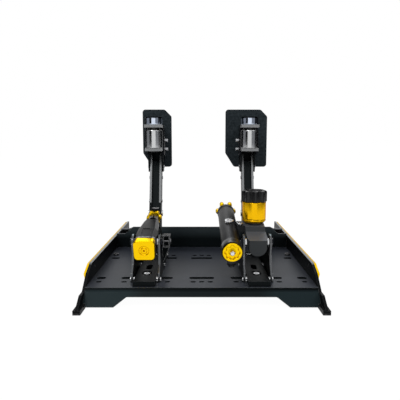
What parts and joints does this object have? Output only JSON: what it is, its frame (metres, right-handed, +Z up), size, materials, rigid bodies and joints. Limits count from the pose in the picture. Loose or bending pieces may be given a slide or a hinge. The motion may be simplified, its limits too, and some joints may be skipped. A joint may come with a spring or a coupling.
{
  "type": "sim racing pedal set",
  "caption": "Floor-standing throttle and hydraulic brake pedals for a driving simulator, on a slotted sheet metal tray with a heel plate.",
  "frame": {"origin": "on the ground under the middle of the base", "axes": "+X across the base from throttle to brake, +Y towards the driver, +Z up"},
  "size_m": [0.363, 0.444, 0.3026],
  "materials": {
    "black_powder": "satin black powder coat with a fine orange peel",
    "pad_black": "matte black coated plate",
    "gold_anodised": "gold anodised, satin machined",
    "rubber_black": "matte rubber strip",
    "bright_steel": "bright zinc plated",
    "turned_steel": "turned steel",
    "mount_grey": "bead blasted aluminium",
    "motor_steel": "dark blued steel can",
    "clear_cover": "clear moulded cover",
    "grey_anodised": "dark grey anodised",
    "black_anodised": "black anodised",
    "sensor_plastic": "moulded housing",
    "elastomer_red": "cast elastomer"
  },
  "bodies": {
    "base": {"base_tray": "black_powder", "heel_plate": "black_powder", "side_plate_left": "black_powder", "side_plate_right": "black_powder", "trim_left": "gold_anodised", "trim_right": "gold_anodised", "foot_strips": "rubber_black", "base_bolts": "bright_steel", "throttle_base_rail": "black_powder", "throttle_bracket_left": "black_powder", "throttle_bracket_right": "black_powder", "throttle_bracket_bolts": "bright_steel", "throttle_pivot_pin": "bright_steel", "throttle_pivot_spacers": "turned_steel", "throttle_trunnion_pins": "bright_steel", "sensor_bracket": "black_powder", "sensor_body": "sensor_plastic", "brake_base_rail": "black_powder", "brake_bracket_left": "black_powder", "brake_bracket_right": "black_powder", "brake_bracket_bolts": "bright_steel", "brake_pivot_pin": "bright_steel", "brake_pivot_spacers": "turned_steel", "brake_trunnion_pins": "bright_steel"},
    "throttle_pedal": {"throttle_arm_plates": "black_powder", "throttle_arm_core": "black_powder", "throttle_clevis_pin": "bright_steel", "throttle_pad_bracket": "black_powder", "throttle_face_plate": "pad_black", "throttle_pad_bolts": "bright_steel", "throttle_motor_mount": "mount_grey", "throttle_motor": "motor_steel", "throttle_motor_cover": "clear_cover"},
    "throttle_weight": {"throttle_motor_weight": "bright_steel"},
    "cartridge": {"cartridge_housing": "grey_anodised", "cartridge_end_cap": "gold_anodised", "cartridge_spring": "turned_steel"},
    "cartridge_slider": {"cartridge_rod": "black_anodised"},
    "preload_ring": {"preload_ring": "gold_anodised"},
    "brake_pedal": {"brake_arm_plates": "black_powder", "brake_arm_core": "black_powder", "brake_clevis_pin": "bright_steel", "brake_pad_bracket": "black_powder", "brake_face_plate": "pad_black", "brake_pad_bolts": "bright_steel", "brake_motor_mount": "mount_grey", "brake_motor": "motor_steel", "brake_motor_cover": "clear_cover"},
    "brake_weight": {"brake_motor_weight": "bright_steel"},
    "brake_cylinders": {"master_cylinder": "black_powder", "reservoir": "gold_anodised", "side_cylinder": "grey_anodised", "brake_fittings": "bright_steel", "elastomer_stack": "elastomer_red"},
    "push_rod": {"push_rod": "turned_steel"},
    "side_piston": {"side_piston": "turned_steel"},
    "reservoir_cap": {"reservoir_cap": "black_anodised"},
    "far_knob": {"far_knob": "gold_anodised"},
    "near_knob": {"near_knob": "gold_anodised"}
  },
  "joints": [
    {"name": "throttle_press", "type": "hinge", "parent": "base", "child": "throttle_pedal", "pos_m": [-0.087, -0.008, 0.05], "axis": [1, 0, 0], "range_deg": [0, 18], "stiffness_Nm_per_rad": 14, "springref_deg": -11.46},
    {"name": "throttle_motor_spin", "type": "hinge", "parent": "throttle_pedal", "child": "throttle_weight", "pos_m": [-0.087, -0.00394, 0.273], "axis": [0, 0, 1], "continuous": true},
    {"name": "cartridge_swing", "type": "hinge", "parent": "base", "child": "cartridge", "pos_m": [-0.087, -0.133, 0.084], "axis": [1, 0, 0], "range_deg": [0, 2.71]},
    {"name": "cartridge_stroke", "type": "slide", "parent": "cartridge", "child": "cartridge_slider", "axis": [0, -0.9868, -0.1619], "range_m": [0, 0.01829], "deforming": ["cartridge_spring"]},
    {"name": "preload_ring_turn", "type": "hinge", "parent": "cartridge_slider", "child": "preload_ring", "pos_m": [-0.087, -0.01725, 0.10299], "axis": [0, 0.9868, 0.1619], "range_deg": [-180, 180]},
    {"name": "brake_press", "type": "hinge", "parent": "base", "child": "brake_pedal", "pos_m": [0.087, -0.008, 0.05], "axis": [1, 0, 0], "range_deg": [0, 11], "stiffness_Nm_per_rad": 300, "springref_deg": -1.72},
    {"name": "brake_motor_spin", "type": "hinge", "parent": "brake_pedal", "child": "brake_weight", "pos_m": [0.087, -0.00394, 0.273], "axis": [0, 0, 1], "continuous": true},
    {"name": "brake_cylinder_swing", "type": "hinge", "parent": "base", "child": "brake_cylinders", "pos_m": [0.087, -0.133, 0.084], "axis": [1, 0, 0], "range_deg": [0, 1.87]},
    {"name": "push_rod_stroke", "type": "slide", "parent": "brake_cylinders", "child": "push_rod", "axis": [0, -0.9868, -0.1619], "range_m": [0, 0.01121]},
    {"name": "side_piston_stroke", "type": "slide", "parent": "brake_cylinders", "child": "side_piston", "axis": [0, 0.9868, 0.1619], "range_m": [0, 0.00731], "deforming": ["elastomer_stack"]},
    {"name": "reservoir_cap_turn", "type": "hinge", "parent": "brake_cylinders", "child": "reservoir_cap", "pos_m": [0.087, -0.09, 0.143], "axis": [0, 0, 1], "range_deg": [0, 340]},
    {"name": "far_knob_turn", "type": "hinge", "parent": "brake_cylinders", "child": "far_knob", "pos_m": [0.0455, 0.01272, 0.10993], "axis": [0, 0.9868, 0.1619], "range_deg": [-180, 180]},
    {"name": "near_knob_turn", "type": "hinge", "parent": "brake_cylinders", "child": "near_knob", "pos_m": [0.0455, -0.1728, 0.0795], "axis": [0, 0.9868, 0.1619], "range_deg": [-180, 180]}
  ],
  "couplings": [
    {"joint": "cartridge_swing", "follows": "throttle_press", "ratio": 0.14193},
    {"joint": "cartridge_stroke", "follows": "throttle_press", "m_per_rad": 0.056296},
    {"joint": "brake_cylinder_swing", "follows": "brake_press", "ratio": 0.15644},
    {"joint": "push_rod_stroke", "follows": "brake_press", "m_per_rad": 0.055264},
    {"joint": "side_piston_stroke", "follows": "brake_press", "m_per_rad": 0.036}
  ]
}
